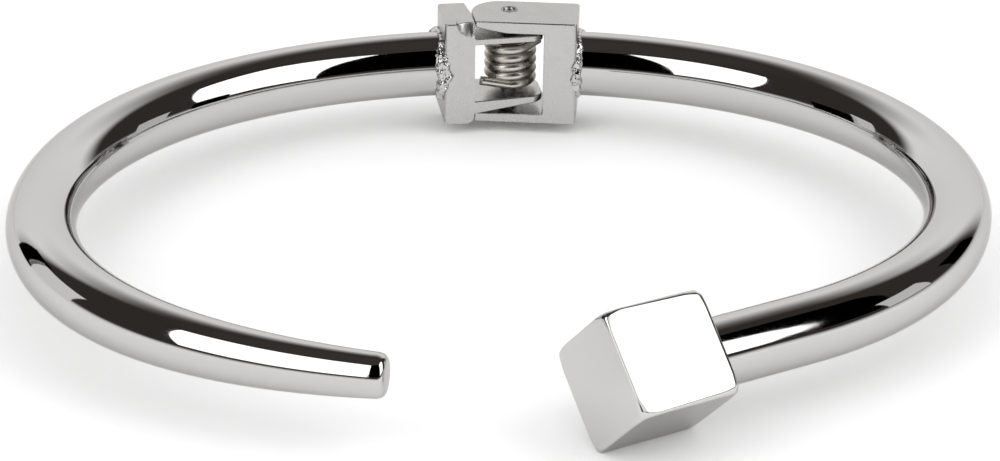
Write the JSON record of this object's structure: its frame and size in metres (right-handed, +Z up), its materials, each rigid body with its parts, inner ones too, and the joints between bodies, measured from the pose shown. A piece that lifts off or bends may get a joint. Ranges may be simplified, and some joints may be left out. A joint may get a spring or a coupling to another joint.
{
  "type": "bangle bracelet",
  "caption": "Open hinged bangle in polished metal: a round bar that tapers to a tip and a plain round bar that ends in a turned cube, joined at the back by a sprung pin hinge.",
  "frame": {"origin": "centre of the wrist opening, half way up the bars", "axes": "+Z up through the opening, +Y towards the hinge, +X towards the half that carries the cube"},
  "size_m": [0.0675, 0.0613, 0.0096],
  "materials": {
    "polished_metal": "mirror polished",
    "satin_metal": "fine satin polish",
    "hinge_metal": "satin, softly worn edges",
    "pin_metal": "filed flush",
    "spring_wire": "bright drawn wire",
    "weld_metal": "rough, as welded and plated over"
  },
  "bodies": {
    "cube_half": {"right_arm": "polished_metal", "cube": "satin_metal", "outer_hinge_block": "hinge_metal", "hinge_pin": "pin_metal", "torsion_spring": "spring_wire", "right_weld_bead": "weld_metal"},
    "tapered_half": {"left_arm": "polished_metal", "inner_hinge_block": "hinge_metal", "left_weld_bead": "weld_metal"}
  },
  "joints": [
    {"name": "hinge", "type": "hinge", "parent": "cube_half", "child": "tapered_half", "pos_m": [0, 0.02926, 0], "axis": [0, 0, -1], "range_deg": [0, 35], "stiffness_Nm_per_rad": 0.026, "springref_deg": -60.16, "deforming": ["torsion_spring"]}
  ]
}
